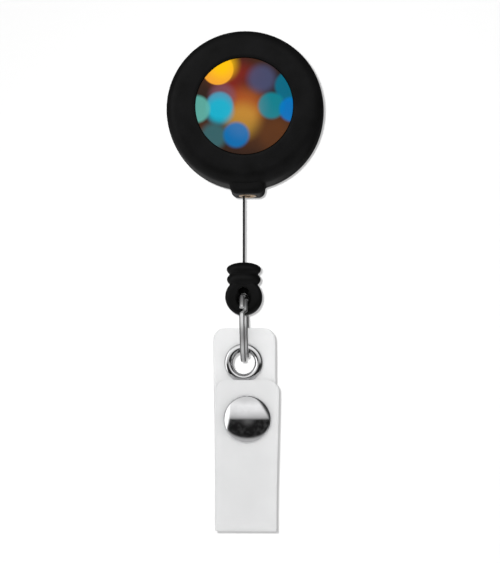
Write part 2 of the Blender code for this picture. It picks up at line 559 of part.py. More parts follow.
def main():
    for old in list(bpy.data.objects):
        bpy.data.objects.remove(old, do_unlink=True)
    plastic = material("black_plastic", (0.012, 0.012, 0.013), 0.42)
    print_ink = material("printed_label", (0.35, 0.3, 0.25), 0.3)
    tan_metal = material("tan_brass", (0.55, 0.4, 0.25), 0.35, 1.0)
    white_plastic = material("natural_plastic", (0.8, 0.79, 0.75), 0.45)
    spring_steel = material("spring_steel", (0.5, 0.5, 0.52), 0.3, 1.0)
    nylon = material("nylon", (0.75, 0.74, 0.7), 0.4)
    cord_black = material("black_cord", (0.01, 0.01, 0.01), 0.6)
    chrome = material("chrome", (0.75, 0.75, 0.76), 0.12, 1.0)
    vinyl = material("frosted_vinyl", (0.85, 0.86, 0.87), 0.4, Alpha=0.85)

    case = pivot("case", (0, 0, 0))
    spool_axis = pivot("spool_axis", (0, 0, 0), case)
    cord = pivot("cord", (HANG_X, 0, KNOT_Z), case)
    end = pivot("end_swivel", (HANG_X, 0, KNOT_Z), cord)
    ring = pivot("ring_pivot", (HANG_X, 0, HOLE_Z), end)
    strap = pivot("strap_pivot", (HANG_X, 0, EYELET_Z), ring)
    flap = pivot("flap_fold", (0, (LAYER_Y + FLAP_Y) / 2, FOLD_Z), strap)
    clip_fold_y = BELT_FACE.y + CLIP_GAP / 2
    clip_top = CLIP_TOP_Z + CLIP_GAP / 2 + CLIP_T
    clip_hinge = pivot("clip_fold", (0, clip_fold_y, clip_top), case)

    build_casing(case, plastic, print_ink, tan_metal)
    build_spool(case, spool_axis, white_plastic, spring_steel, nylon, cord_black)
    build_cord(case, cord, cord_black)
    build_cord_end(end, plastic)
    build_ring(ring, chrome)
    build_strap(strap, flap, vinyl, chrome)
    build_press_stud(strap, flap, chrome)
    build_clip(case, clip_hinge, spring_steel)


main()
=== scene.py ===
"""The looks of the retractable badge reel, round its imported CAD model.

Sizes are in millimetres from the casing's centre, as in the CAD source, and made() turns them into metres
in the row frame. Pivots and outer sizes come from the frame.
"""
import json
import math

import bmesh
import bpy
import numpy as np
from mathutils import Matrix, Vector


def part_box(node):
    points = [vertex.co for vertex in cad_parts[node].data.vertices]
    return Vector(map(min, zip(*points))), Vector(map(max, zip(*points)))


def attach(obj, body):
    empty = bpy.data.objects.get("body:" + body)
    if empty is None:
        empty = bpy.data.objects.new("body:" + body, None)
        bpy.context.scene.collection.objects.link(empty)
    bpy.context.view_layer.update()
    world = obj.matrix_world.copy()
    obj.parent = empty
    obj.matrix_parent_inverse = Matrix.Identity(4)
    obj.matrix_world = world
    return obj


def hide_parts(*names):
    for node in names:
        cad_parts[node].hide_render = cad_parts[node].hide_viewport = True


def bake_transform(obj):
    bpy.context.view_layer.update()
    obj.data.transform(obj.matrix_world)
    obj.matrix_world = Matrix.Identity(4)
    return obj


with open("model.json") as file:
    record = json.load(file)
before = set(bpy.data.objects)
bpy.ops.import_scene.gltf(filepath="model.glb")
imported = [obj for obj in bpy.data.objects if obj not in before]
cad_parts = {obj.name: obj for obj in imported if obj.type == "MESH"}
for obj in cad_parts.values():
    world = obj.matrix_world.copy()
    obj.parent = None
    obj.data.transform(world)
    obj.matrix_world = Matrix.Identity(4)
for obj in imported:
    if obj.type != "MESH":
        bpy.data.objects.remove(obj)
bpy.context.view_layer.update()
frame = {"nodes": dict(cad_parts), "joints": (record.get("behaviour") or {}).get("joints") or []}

MM = 0.001
JOINTS = {joint["name"]: joint for joint in frame["joints"]}
CENTRE = Vector(JOINTS["spool_turn"]["pos_m"]) / MM


def pivot(joint):
    return Vector(JOINTS[joint]["pos_m"]) / MM - CENTRE


def node_box(node):
    low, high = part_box(node)
    return low / MM - CENTRE, high / MM - CENTRE


# ---- sizes -----------------------------------------------------------------------------------------------

FRONT_LOW, FRONT_HIGH = node_box("front_shell")
LABEL_LOW, LABEL_HIGH = node_box("label_disc")
BUSH_LOW, BUSH_HIGH = node_box("exit_bush")
CASE_R = (FRONT_HIGH.x - FRONT_LOW.x) / 2
LABEL_R = (LABEL_HIGH.x - LABEL_LOW.x) / 2
CREST_Y, REAR_Y = FRONT_LOW.y, node_box("rear_shell")[1].y  # the lip round the label stands highest
FACE_Y = CREST_Y + 0.15
FRONT_EDGE_R, REAR_EDGE_R = 3.0, 2.0
WALL = 1.4
INNER_FRONT_Y, INNER_REAR_Y = -3.9, 3.4
PARTING_Y, PARTING_BEVEL = 0.5, 0.09
BOSS_X = (BUSH_LOW.x + BUSH_HIGH.x) / 2
BOSS_HALF_W, BOSS_BOTTOM_Z = 3.48, FRONT_LOW.z
BOSS_FRONT_Y, BOSS_REAR_Y = -4.2, 3.6
BOSS_TOP_Z = -10.0  # inside the casing
BOSS_CORNER, BOSS_MELT = 1.5, 0.5
HANG_X = pivot("ring_swing").x
HOLE, EYELET, FOLD = pivot("ring_swing"), pivot("strap_swing"), pivot("flap_open")
END_LOW, END_HIGH = node_box("cord_end")
RING_LOW, RING_HIGH = node_box("split_ring")
STRAP_TOP = node_box("strap_back")[1].z
FLAP_TOP = node_box("strap_flap")[1].z
VINYL = 0.5
REST = VINYL / 2 + 0.1  # from a layer's middle to a fitting on it
BACK_Y, FLAP_Y = 0.0, 2 * FOLD.y
FOLD_R = abs(FLAP_Y - BACK_Y) / 2
FOLD_MIDDLE_Z = FOLD.z + VINYL / 2 + FOLD_R
CAP_LOW, CAP_HIGH = node_box("snap_cap")
SNAP = (CAP_LOW + CAP_HIGH) / 2
CLIP_LOW, CLIP_HIGH = node_box("clip_base")
CLIP_T, CLIP_CORNER = 0.6, 2.2
TONGUE_Y = node_box("clip_tongue")[1].y
BELT_Y = -CENTRE.y  # the base leaf's face towards the belt
CORD_D = 0.46
WIRE_W, WIRE_T = 0.76, 1.02  # the ring's wire, outward and along the ring's axis
NEST_X, NEST_R = 0.6, 0.82  # between the ring's two turns, along its axis and outward


# ---- camera and light ------------------------------------------------------------------------------------

CAMERA_AZIMUTH, CAMERA_ELEVATION = math.radians(2.4), math.radians(-5.0)
CAMERA_DISTANCE, CAMERA_LENS = 300.0, 94.95
CAMERA_TARGET = Vector((0.95, 0.0, -34.88))


def make_camera():
    data = bpy.data.cameras.new("camera")
    data.lens = CAMERA_LENS
    camera = bpy.data.objects.new("camera", data)
    bpy.context.scene.collection.objects.link(camera)
    flat = math.cos(CAMERA_ELEVATION)
    back = Vector((math.sin(CAMERA_AZIMUTH) * flat, -math.cos(CAMERA_AZIMUTH) * flat,
                   math.sin(CAMERA_ELEVATION)))
    camera.location = (CENTRE + CAMERA_TARGET + back * CAMERA_DISTANCE) * MM
    camera.rotation_euler = (-back).to_track_quat("-Z", "Y").to_euler()
    data.clip_start = 0.01
    bpy.context.scene.camera = camera


def make_world():
    """A studio as bright metal shows it, and an even light for matt surfaces.

    Metal shows a light tent in front and above, with a bright strip at its left and dark behind and at the
    right, and a dark pool below the horizon, with the pale table round it.
    """
    world = bpy.data.worlds.new("studio")
    world.use_nodes = True
    bpy.context.scene.world = world
    nodes, links = world.node_tree.nodes, world.node_tree.links
    nodes.clear()
    place = nodes.new("ShaderNodeTexCoord").outputs["Generated"]

    def span(source, low, high, to_low, to_high):
        node = nodes.new("ShaderNodeMapRange")
        node.interpolation_type = "SMOOTHSTEP"
        for key, value in (("From Min", low), ("From Max", high), ("To Min", to_low), ("To Max", to_high)):
            node.inputs[key].default_value = value
        links.new(source, node.inputs["Value"])
        return node.outputs[0]

    def mixed(share, low, high):
        node = nodes.new("ShaderNodeMix")
        for socket, value in ((0, share), (2, low), (3, high)):
            if isinstance(value, float):
                node.inputs[socket].default_value = value
            else:
                links.new(value, node.inputs[socket])
        return node.outputs[0]

    def along(direction):
        node = nodes.new("ShaderNodeVectorMath")
        node.operation = "DOT_PRODUCT"
        node.inputs[1].default_value = direction
        links.new(place, node.inputs[0])
        return node.outputs["Value"]

    def from_middle(across, up):
        """The distance from straight ahead or behind, in half widths and heights of an ellipse."""
        scaled, length = (nodes.new("ShaderNodeVectorMath") for _ in range(2))
        scaled.operation, length.operation = "MULTIPLY", "LENGTH"
        scaled.inputs[1].default_value = (1 / across, 0.0, 1 / up)
        links.new(place, scaled.inputs[0])
        links.new(scaled.outputs[0], length.inputs[0])
        return length.outputs["Value"]

    behind_level, right_level, strip_level, glow_level, table_level = 0.06, 0.06, 1.6, 0.16, 0.50
    split = nodes.new("ShaderNodeSeparateXYZ")
    links.new(place, split.inputs[0])
    height, depth = split.outputs["Z"], split.outputs["Y"]
    tent = nodes.new("ShaderNodeValToRGB")
    fill_ramp(tent, (0.0, 0.20), (0.07, 0.48), (0.20, 0.72), (0.40, 0.95), (0.60, 1.05), (0.80, 0.78),
              (1.0, 0.70))
    links.new(height, tent.inputs["Fac"])
    above = mixed(span(depth, -0.25, 0.05, 0.0, 1.0), tent.outputs["Color"], behind_level)

    cloud = nodes.new("ShaderNodeTexNoise")
    cloud.inputs["Scale"].default_value = 5.0
    links.new(place, cloud.inputs["Vector"])
    pool = span(cloud.outputs["Fac"], 0.42, 0.75, 0.010, 0.05)
    pool = mixed(span(from_middle(0.45, 0.42), 0.1, 1.0, 0.65, 0.0), pool, glow_level)
    table = mixed(span(from_middle(0.98, 0.80), 0.94, 1.06, 0.0, 1.0), pool, table_level)
    below = mixed(span(depth, -0.05, 0.1, 0.0, 1.0), table, table_level)

    level = mixed(span(height, -0.03, 0.03, 0.0, 1.0), below, above)
    level = mixed(span(along((0.75, 0.45, 0.45)), 0.38, 0.50, 0.0, 1.0), level, right_level)
    strip = span(along((1.0, 0.0, -0.12)), -0.83, -0.77, 1.0, 0.0)
    for source, low, high, start, end in ((depth, -0.30, -0.05, 1.0, 0.0), (height, -0.46, -0.38, 0.0, 1.0),
                                          (height, 0.62, 0.80, 1.0, 0.0)):
        narrowed = nodes.new("ShaderNodeMath")
        narrowed.operation = "MULTIPLY"
        links.new(strip, narrowed.inputs[0])
        links.new(span(source, low, high, start, end), narrowed.inputs[1])
        strip = narrowed.outputs[0]
    level = mixed(strip, level, strip_level)

    path = nodes.new("ShaderNodeLightPath")
    soft = span(height, -0.3, 0.3, 0.85, 0.40)
    level = mixed(path.outputs["Is Glossy Ray"], soft, level)
    studio = nodes.new("ShaderNodeBackground")
    links.new(level, studio.inputs["Color"])
    white = nodes.new("ShaderNodeBackground")
    mix = nodes.new("ShaderNodeMixShader")
    out = nodes.new("ShaderNodeOutputWorld")
    links.new(path.outputs["Is Camera Ray"], mix.inputs["Fac"])
    links.new(studio.outputs[0], mix.inputs[1])
    links.new(white.outputs[0], mix.inputs[2])
    links.new(mix.outputs[0], out.inputs["Surface"])


def make_lights():
    """Soft lights on the matt surfaces, which the metal doesn't show."""
    middle = (CENTRE + Vector((0, 0, -35))) * MM
    # each light: name, place, width and height, power
    fills = (("front_fill", (-120, -420, -10), (320, 320), 0.71),
             ("right_fill", (300, -160, -60), (120, 260), 0.2),
             ("rear_fill", (60, 420, 60), (320, 320), 0.9))
    for name, place, (width, height), power in fills:
        data = bpy.data.lights.new(name, "AREA")
        data.shape = "RECTANGLE"
        data.size, data.size_y = width * MM, height * MM
        data.energy = power
        light = bpy.data.objects.new(name, data)
        bpy.context.scene.collection.objects.link(light)
        light.location = (CENTRE + Vector(place)) * MM
        light.rotation_euler = (middle - light.location).to_track_quat("-Z", "Y").to_euler()
        light.visible_camera = False
        light.visible_glossy = False


def make_stage():
    """A white wall close behind, which only takes the object's shadow, and a pale floor far below."""
    clearance = 4.0  # the open clip's tongue stays in front of the wall
    wall_y = (TONGUE_Y + clearance + CENTRE.y) * MM
    mesh = bpy.data.meshes.new("wall")
    half_w, low, high, floor_z, floor_w = 0.25, -1.15, 0.25, -1.1, 6.0
    corners = [(x, wall_y, z) for x, z in ((-half_w, low), (half_w, low), (half_w, high), (-half_w, high))]
    mesh.from_pydata(corners, [], [(0, 1, 2, 3)])
    wall = bpy.data.objects.new("wall", mesh)
    bpy.context.scene.collection.objects.link(wall)
    paint = bpy.data.materials.new("wall_paint")
    paint.use_nodes = True
    paint.node_tree.nodes.clear()
    glow = add(paint, "ShaderNodeEmission", Strength=0.47)
    diffuse = add(paint, "ShaderNodeBsdfDiffuse", Color=(0.02, 0.02, 0.02, 1.0))
    both = add(paint, "ShaderNodeAddShader", [(glow.outputs[0], 0), (diffuse.outputs[0], 1)])
    clear = add(paint, "ShaderNodeBsdfTransparent")
    side = add(paint, "ShaderNodeNewGeometry").outputs["Backfacing"]
    mix = add(paint, "ShaderNodeMixShader", [(side, "Fac"), (both.outputs[0], 1), (clear.outputs[0], 2)])
    add(paint, "ShaderNodeOutputMaterial", [(mix.outputs[0], "Surface")])
    mesh.materials.append(paint)
    for name in ("diffuse", "glossy", "transmission", "shadow"):
        setattr(wall, f"visible_{name}", False)

    receivers = bpy.data.collections.new("shadow_receivers")
    receivers.objects.link(wall)
    data = bpy.data.lights.new("shadow_key", "POINT")
    data.energy = 110.0
    data.shadow_soft_size = 3.5 * MM
    key = bpy.data.objects.new("shadow_key", data)
    bpy.context.scene.collection.objects.link(key)
    left_and_above = Vector((-8.5, 0, 7.4))
    key.location = bpy.context.scene.camera.location + left_and_above * MM
    key.light_linking.receiver_collection = receivers

    bpy.ops.mesh.primitive_plane_add(size=floor_w, location=(0, 0, floor_z))
    floor = bpy.context.object
    floor.name = "floor"
    floor.data.materials.append(principled("floor_paint", (0.86, 0.86, 0.86), 0.9))
    for name in ("diffuse", "glossy", "transmission"):
        setattr(floor, f"visible_{name}", False)


# ---- materials -------------------------------------------------------------------------------------------

def fill_ramp(node, *stops):
    """Sets a colour ramp's stops, each a place and a colour or a grey level."""
    ramp = node.color_ramp
    while len(ramp.elements) < len(stops):
        ramp.elements.new(0.5)
    for element, (place, colour) in zip(ramp.elements, stops):
        element.position = place
        element.color = (*colour, 1.0) if isinstance(colour, tuple) else (colour, colour, colour, 1.0)


def principled(name, colour, roughness, metallic=0.0, **sockets):
    """A material with these values on its Principled shader."""
    finish = bpy.data.materials.new(name)
    finish.use_nodes = True
    shader = shader_of(finish)
    shader.inputs["Base Color"].default_value = (*colour, 1.0)
    shader.inputs["Roughness"].default_value = roughness
    shader.inputs["Metallic"].default_value = metallic
    for key, value in sockets.items():
        shader.inputs[key.replace("_", " ")].default_value = value
    return finish


def add(finish, kind, links=(), **values):
    """A node in a material, with its sockets set by name and linked from (output, socket name) pairs."""
    tree = finish.node_tree
    node = tree.nodes.new(kind)
    for key, value in values.items():
        if key in node.inputs.keys():
            node.inputs[key].default_value = value
        else:
            setattr(node, key, value)
    for output, socket in links:
        tree.links.new(output, node.inputs[socket])
    return node


def shader_of(finish):
    return finish.node_tree.nodes["Principled BSDF"]


def spread(finish, output, low, high, socket):
    """Maps an output of 0 to 1 onto a shader socket between two values."""
    span = add(finish, "ShaderNodeMapRange", [(output, "Value")], **{"To Min": low, "To Max": high})
    finish.node_tree.links.new(span.outputs[0], shader_of(finish).inputs[socket])


def noise(finish, scale, detail=2.0, stretch=None):
    """Noise in object space; scale is in bumps per metre, and stretch makes it run along an axis."""
    place = add(finish, "ShaderNodeTexCoord").outputs["Object"]
    if stretch:
        place = add(finish, "ShaderNodeMapping", [(place, "Vector")], Scale=stretch).outputs[0]
    return add(finish, "ShaderNodeTexNoise", [(place, "Vector")], Scale=scale, Detail=detail)


def bumps(finish, layers):
    """Stacks (height output, depth in millimetres) bumps on the shader's normal."""
    normal = None
    for height, depth in layers:
        links = [(height, "Height")] + ([(normal, "Normal")] if normal else [])
        normal = add(finish, "ShaderNodeBump", links, Distance=depth * MM, Strength=1.0).outputs[0]
    finish.node_tree.links.new(normal, shader_of(finish).inputs["Normal"])


def tint(finish, output, dark, light):
    """Colours the base between two colours."""
    ramp = add(finish, "ShaderNodeValToRGB", [(output, "Fac")])
    fill_ramp(ramp, (0.3, dark), (0.7, light))
    finish.node_tree.links.new(ramp.outputs["Color"], shader_of(finish).inputs["Base Color"])


def moulded_black(name, shade, roughness, grain):
    """Satin moulded plastic: fine spark-eroded grain over a slow flow of the melt."""
    finish = principled(name, (shade,) * 3, roughness, Specular_IOR_Level=0.10)
    flow = noise(finish, 260, 3.0)
    fine = noise(finish, 7000, 2.0)
    slow = noise(finish, 900, 2.0)
    tint(finish, flow.outputs["Fac"], (shade * 0.75,) * 3, (shade * 1.3, shade * 1.3, shade * 1.36))
    spread(finish, slow.outputs["Fac"], roughness - 0.07, roughness + 0.07, "Roughness")
    bumps(finish, [(slow.outputs["Fac"], grain), (fine.outputs["Fac"], grain)])
    return finish


def plated(name, colour, roughness, scratch=(1.0, 1.0, 1.0), metallic=1.0):
    """Bright plate: a slow orange peel, hairline scratches and small changes in polish."""
    finish = principled(name, colour, roughness, metallic)
    peel = noise(finish, 700, 2.0)
    hair = noise(finish, 9000, 3.0, scratch)
    tint(finish, peel.outputs["Fac"], tuple(c * 0.94 for c in colour), colour)
    spread(finish, hair.outputs["Fac"], roughness * 0.6, roughness * 1.5, "Roughness")
    bumps(finish, [(peel.outputs["Fac"], 0.003), (hair.outputs["Fac"], 0.0008)])
    return finish


def ring_steel():
    """Satin steel wire, brushed along its turns, with painted shade darkening the rounded corners between
    its flats.
    """
    finish = plated("ring_steel", (0.88, 0.88, 0.885), 0.40, (0.2, 1.0, 1.0), 0.75)
    normal = add(finish, "ShaderNodeTexCoord").outputs["Normal"]
    split = add(finish, "ShaderNodeSeparateXYZ", [(normal, 0)])
    aside = add(finish, "ShaderNodeMath", [(split.outputs["X"], 0)], operation="ABSOLUTE")
    # Painted shade: the base colour is darkened on the wire's rounded corners, picked out by which way the
    # surface faces.
    corner = add(finish, "ShaderNodeValToRGB", [(aside.outputs[0], "Fac")])
    fill_ramp(corner, (0.10, 1.0), (0.38, 0.16), (0.85, 0.16), (0.97, 0.8))
    base = shader_of(finish).inputs["Base Color"]
    links = [(base.links[0].from_socket, 0), (corner.outputs["Color"], 1)]
    corner_shaded = add(finish, "ShaderNodeVectorMath", links, operation="MULTIPLY")
    finish.node_tree.links.new(corner_shaded.outputs[0], base)
    return finish


def frosted_vinyl():
    """Milky soft vinyl: fine calendered frost, faint creases, and some light through it."""
    finish = principled("frosted_vinyl", (0.84, 0.845, 0.85), 0.42, IOR=1.5, Transmission_Weight=0.12,
                        Specular_IOR_Level=0.35, Alpha=0.78)
    cloud = noise(finish, 160, 3.0)
    frost = noise(finish, 5200, 3.0)
    crease = noise(finish, 420, 2.0, (1.0, 1.0, 0.35))
    tint(finish, cloud.outputs["Fac"], (0.93, 0.933, 0.936), (0.97, 0.972, 0.975))
    spread(finish, frost.outputs["Fac"], 0.32, 0.55, "Roughness")
    bumps(finish, [(crease.outputs["Fac"], 0.05), (frost.outputs["Fac"], 0.006)])
    return finish


def braided_cord():
    """Black nylon braid: strands crossing round the cord, from its own angle and height."""
    pitch, strands = 0.55, 4
    finish = principled("braided_cord", (0.008, 0.008, 0.009), 0.5, Specular_IOR_Level=0.4,
                        Sheen_Weight=0.15, Sheen_Roughness=0.4)
    place = add(finish, "ShaderNodeTexCoord").outputs["Object"]
    axis = add(finish, "ShaderNodeVectorMath", [(place, 0)], operation="SUBTRACT")
    axis.inputs[1].default_value = Vector(((CENTRE.x + HANG_X) * MM, CENTRE.y * MM, 0.0))
    split = add(finish, "ShaderNodeSeparateXYZ", [(axis.outputs[0], 0)])
    angle = add(finish, "ShaderNodeMath", [(split.outputs["Y"], 0), (split.outputs["X"], 1)],
                operation="ARCTAN2")
    waves = []
    for way in (1, -1):
        climb = add(finish, "ShaderNodeMath", [(split.outputs["Z"], 0)], operation="MULTIPLY")
        climb.inputs[1].default_value = way * math.tau / (pitch * MM) * 2
        turn = add(finish, "ShaderNodeMath", [(angle.outputs[0], 0), (climb.outputs[0], 2)],
                   operation="MULTIPLY_ADD")
        turn.inputs[1].default_value = strands
        waves.append(add(finish, "ShaderNodeMath", [(turn.outputs[0], 0)], operation="SINE").outputs[0])
    weave = add(finish, "ShaderNodeMath", [(waves[0], 0), (waves[1], 1)], operation="MAXIMUM")
    fuzz = noise(finish, 12000, 3.0)
    tint(finish, weave.outputs[0], (0.003, 0.003, 0.003), (0.014, 0.014, 0.015))
    spread(finish, fuzz.outputs["Fac"], 0.4, 0.65, "Roughness")
    bumps(finish, [(weave.outputs[0], 0.02), (fuzz.outputs["Fac"], 0.005)])
    return finish


def printed_label():
    """A generic print of soft, out-of-focus lights, under a satin film."""
    finish = principled("printed_label", (0.2, 0.1, 0.05), 0.34, Coat_Weight=0.03, Coat_Roughness=0.2,
                        Specular_IOR_Level=0.05)
    place = add(finish, "ShaderNodeTexCoord").outputs["Object"]
    local = add(finish, "ShaderNodeVectorMath", [(place, 0)], operation="SUBTRACT")
    local.inputs[1].default_value = CENTRE * MM
    flat = add(finish, "ShaderNodeVectorMath", [(local.outputs[0], 0)], operation="MULTIPLY")
    flat.inputs[1].default_value = (1 / (LABEL_R * MM), 0.0, 1 / (LABEL_R * MM))
    wave = noise(finish, 110, 2.0)
    ground = add(finish, "ShaderNodeValToRGB", [(wave.outputs["Fac"], "Fac")])
    fill_ramp(ground, (0.35, (0.018, 0.013, 0.011)), (0.65, (0.07, 0.024, 0.010)))
    colour = ground.outputs["Color"]
    # each spot: across, up, radius (in label radii), softness, strength, colour
    spots = (
        (-0.15, 0.48, 0.42, 0.60, 0.65, (0.28, 0.020, 0.012)),
        (0.30, 0.30, 0.36, 0.6, 0.8, (0.030, 0.018, 0.016)),
        (0.04, -0.02, 0.36, 0.6, 0.6, (0.55, 0.13, 0.02)),
        (-0.02, -0.30, 0.34, 0.5, 0.5, (0.62, 0.36, 0.05)),
        (0.62, -0.60, 0.40, 0.6, 0.6, (0.14, 0.045, 0.012)),
        (-0.45, 0.20, 0.26, 0.35, 0.6, (0.20, 0.09, 0.13)),
        (-0.50, 0.02, 0.27, 0.16, 0.85, (0.05, 0.34, 0.50)),
        (-0.50, -0.10, 0.26, 0.35, 0.8, (0.0, 0.42, 0.58)),
        (-0.98, -0.06, 0.28, 0.16, 0.85, (0.11, 0.42, 0.36)),
        (0.36, 0.56, 0.28, 0.40, 0.75, (0.070, 0.080, 0.17)),
        (0.95, 0.40, 0.32, 0.14, 0.85, (0.0, 0.15, 0.24)),
        (0.56, 0.00, 0.27, 0.18, 0.8, (0.0, 0.24, 0.30)),
        (0.97, -0.08, 0.25, 0.18, 0.9, (0.0, 0.17, 0.50)),
        (-0.62, -0.62, 0.26, 0.35, 0.7, (0.03, 0.15, 0.17)),
        (-0.16, -0.60, 0.26, 0.20, 0.9, (0.0, 0.15, 0.42)),
        (-0.54, 0.76, 0.32, 0.06, 1.0, (0.88, 0.36, 0.03)),
        (-0.46, 0.86, 0.26, 0.7, 0.9, (1.0, 0.56, 0.0)),
    )
    for across, up, radius, soft, strength, shade in spots:
        gap = add(finish, "ShaderNodeVectorMath", [(flat.outputs[0], 0)], operation="DISTANCE")
        gap.inputs[1].default_value = (across, 0.0, up)
        fade = {"From Min": radius * (1 - soft), "From Max": radius * (1 + soft), "To Min": strength,
                "To Max": 0.0}
        share = add(finish, "ShaderNodeMapRange", [(gap.outputs["Value"], "Value")],
                    interpolation_type="SMOOTHSTEP", **fade)
        blend = add(finish, "ShaderNodeMix", [(share.outputs[0], 0), (colour, 6)], data_type="RGBA")
        blend.inputs[7].default_value = (*shade, 1.0)
        colour = blend.outputs[2]
    dots = noise(finish, 16000, 1.0)
    ink = add(finish, "ShaderNodeMapRange", [(dots.outputs["Fac"], "Value")],
              **{"To Min": 0.93, "To Max": 1.23})
    inked = add(finish, "ShaderNodeVectorMath", [(colour, 0), (ink.outputs[0], 1)], operation="MULTIPLY")
    finish.node_tree.links.new(inked.outputs[0], shader_of(finish).inputs["Base Color"])
    film = noise(finish, 1500, 2.0)
    spread(finish, film.outputs["Fac"], 0.26, 0.38, "Roughness")
    bumps(finish, [(film.outputs["Fac"], 0.003)])
    return finish


def plain_plastic(name, colour):
    finish = principled(name, colour, 0.42)
    flow, fine = noise(finish, 500, 3.0), noise(finish, 8000, 2.0)
    tint(finish, flow.outputs["Fac"], tuple(c * 0.9 for c in colour), colour)
    spread(finish, fine.outputs["Fac"], 0.35, 0.52, "Roughness")
    bumps(finish, [(fine.outputs["Fac"], 0.006)])
    return finish


# ---- mesh work -------------------------------------------------------------------------------------------

def made(name, bm, finish, smooth=40, merge=1e-4):
    """The named object made from a bmesh in casing millimetres, smooth but for edges over an angle."""
    bmesh.ops.remove_doubles(bm, verts=bm.verts, dist=merge)
    for vert in bm.verts:
        vert.co = (vert.co + CENTRE) * MM
    bmesh.ops.recalc_face_normals(bm, faces=bm.faces)
    mesh = bpy.data.meshes.new(name)
    bm.to_mesh(mesh)
    bm.free()
    piece = bpy.data.objects.new(name, mesh)
    bpy.context.scene.collection.objects.link(piece)
    if finish:
        mesh.materials.append(finish)
    shade(piece, smooth)
    return piece


def shade(piece, angle):
    piece.data.shade_smooth()
    piece.data.set_sharp_from_angle(angle=math.radians(angle))


def apply_modifiers(piece, angle=40):
    """Makes a piece's modifiers part of its mesh."""
    bpy.context.view_layer.update()
    graph = bpy.context.evaluated_depsgraph_get()
    mesh = bpy.data.meshes.new_from_object(piece.evaluated_get(graph), depsgraph=graph)
    piece.modifiers.clear()
    piece.data = mesh
    shade(piece, angle)


def cut(piece, tool_bm, operation="DIFFERENCE"):
    """Cuts, or adds, a solid to a piece."""
    tool = made(f"{piece.name}_tool", tool_bm, None)
    change = piece.modifiers.new("cut", "BOOLEAN")
    change.operation, change.solver, change.object = operation, "EXACT", tool
    apply_modifiers(piece)
    bpy.data.objects.remove(tool)


def filleted(corners, steps=5):
    """A closed profile of (x, y, fillet) corners, each rounded, but sharp where it ends on the axis."""
    points = []
    count = len(corners)
    for i, (x, y, fillet) in enumerate(corners):
        corner = Vector((x, y))
        if not fillet or i in (0, count - 1) and corners[0][0] == 0 == corners[-1][0]:
            points.append((x, y))
            continue
        before, after = Vector(corners[i - 1][:2]), Vector(corners[(i + 1) % count][:2])
        reach = min(fillet, (before - corner).length * 0.49, (after - corner).length * 0.49)
        start = corner + (before - corner).normalized() * reach
        end = corner + (after - corner).normalized() * reach
        for k in range(steps + 1):
            t = k / steps
            points.append(tuple(start.lerp(corner, t).lerp(corner.lerp(end, t), t)))
    return points


def arc(centre, radius, start, end, steps):
    turns = (math.radians(start + (end - start) * i / steps) for i in range(steps + 1))
    return [(centre[0] + radius * math.cos(t), centre[1] + radius * math.sin(t)) for t in turns]


def turned(profile, centre, axis="Y", steps=96):
    """A solid of revolution from (radius, place along the axis) points about a line through centre."""
    bm = bmesh.new()
    along = Vector((0, 1, 0)) if axis == "Y" else Vector((0, 0, 1))
    base = Vector(centre) - along * Vector(centre).dot(along)
    verts = [bm.verts.new(base + Vector((r, 0, 0)) + along * d) for r, d in profile]
    ends = list(zip(verts, verts[1:]))
    if profile[0][0] > 0 or profile[-1][0] > 0:
        ends.append((verts[-1], verts[0]))
    edges = [bm.edges.new(pair) for pair in ends]
    bmesh.ops.spin(bm, geom=verts + edges, cent=base, axis=along, angle=math.tau, steps=steps,
                   use_merge=True)
    return bm


def cylinder(x, z, radius, low, high, steps=48):
    """A solid cylinder from front to back."""
    return turned([(0, low), (radius, low), (radius, high), (0, high)], (x, 0, z), steps=steps)


def lofted(sections, caps=True):
    """A solid through rings of points; a ring may be a single point."""
    bm = bmesh.new()
    rings = [[bm.verts.new(point) for point in section] for section in sections]
    for low, high in zip(rings, rings[1:]):
        count = max(len(low), len(high))
        for i in range(count):
            j = (i + 1) % count
            corners = [low[i % len(low)], low[j % len(low)], high[j % len(high)], high[i % len(high)]]
            corners = [v for k, v in enumerate(corners) if v not in corners[:k]]
            bm.faces.new(corners)
    if caps:
        for ring in (rings[0], rings[-1]):
            if len(ring) > 2:
                bm.faces.new(ring)
    return bm


# ---- casing ----------------------------------------------------------------------------------------------

def outline_angles():
    """Angles round the casing, close together where the boss's sides are."""
    down = -90.0
    middle = math.degrees(math.atan2(BOSS_X, -BOSS_BOTTOM_Z))
    side = math.degrees(math.atan2(BOSS_HALF_W, -BOSS_BOTTOM_Z + 1))
    spans = [np.arange(0, 360, 3.0), down + np.arange(-24, 24, 0.6)]
    for way in (-1, 1):
        centre = down + middle + way * (side + 0.6)
        spans.append(centre + np.arange(-3.2, 3.2, 0.12))
    return np.radians(np.unique(np.round(np.concatenate(spans) % 360, 3)))


ANGLES = outline_angles()


def casing_ring(y, radius, inset=None):
    """A ring of the casing at a depth: its circle, blended with the boss where an inset is given."""
    reach = np.full(len(ANGLES), float(radius))
    if inset is not None:
        half = np.array([BOSS_HALF_W, (BOSS_TOP_Z - BOSS_BOTTOM_Z) / 2]) - inset
        centre = np.array([BOSS_X, (BOSS_TOP_Z + BOSS_BOTTOM_Z) / 2])
        corner = max(BOSS_CORNER - inset, 0.25)
        melt = 0.02 + BOSS_MELT * max(0.0, 1 - inset / 1.8)
        halvings = 36
        low, high = np.full(len(ANGLES), radius - 0.5), np.full(len(ANGLES), radius + 4.0)
        for _ in range(halvings):
            middle = (low + high) / 2
            place = np.stack([middle * np.cos(ANGLES), middle * np.sin(ANGLES)], 1)
            beyond = np.abs(place - centre) - half + corner
            boss = np.linalg.norm(np.maximum(beyond, 0), axis=1) + np.minimum(beyond.max(1), 0) - corner
            disc = middle - radius
            share = np.clip(0.5 + 0.5 * (disc - boss) / melt, 0, 1)
            field = disc * (1 - share) + boss * share - melt * share * (1 - share)
            low, high = np.where(field < 0, middle, low), np.where(field < 0, high, middle)
        reach = (low + high) / 2
    return [(r * math.cos(a), y, r * math.sin(a)) for r, a in zip(reach, ANGLES)]


